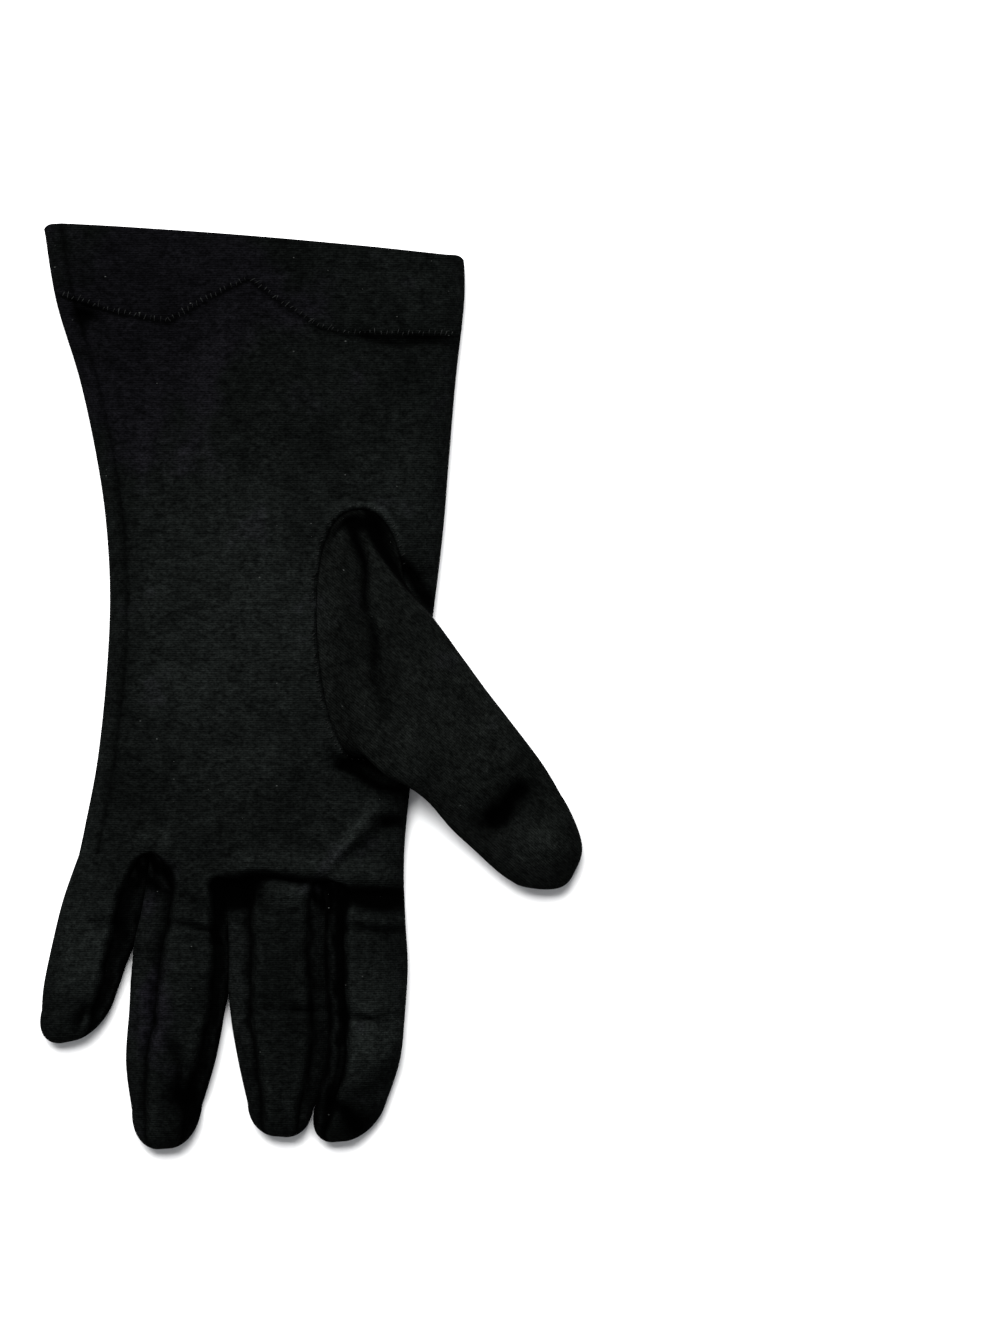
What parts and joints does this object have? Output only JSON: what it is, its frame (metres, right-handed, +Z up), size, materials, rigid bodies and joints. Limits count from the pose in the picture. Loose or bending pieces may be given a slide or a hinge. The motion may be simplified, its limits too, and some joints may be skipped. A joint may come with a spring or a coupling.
{
  "type": "nylon dress glove",
  "caption": "Flat left-hand dress glove of knitted nylon, lying palm up, with a set-in thumb, forked strips between the fingers and a shaped turned-in hem.",
  "frame": {"origin": "centre of the bounding box, on the surface that the back of the glove lies on", "axes": "+Y from the fingertips to the hem, +X towards the thumb, +Z up out of the palm"},
  "size_m": [0.1518, 0.2576, 0.0171],
  "materials": {
    "black_tricot": "matte",
    "black_tricot_strips": "matte"
  },
  "bodies": {
    "root": {"trank": "black_tricot", "thumb": "black_tricot", "hem_facing": "black_tricot", "fourchette_pinky_ring": "black_tricot_strips", "fourchette_ring_middle": "black_tricot_strips", "fourchette_middle_index": "black_tricot_strips"}
  },
  "joints": []
}
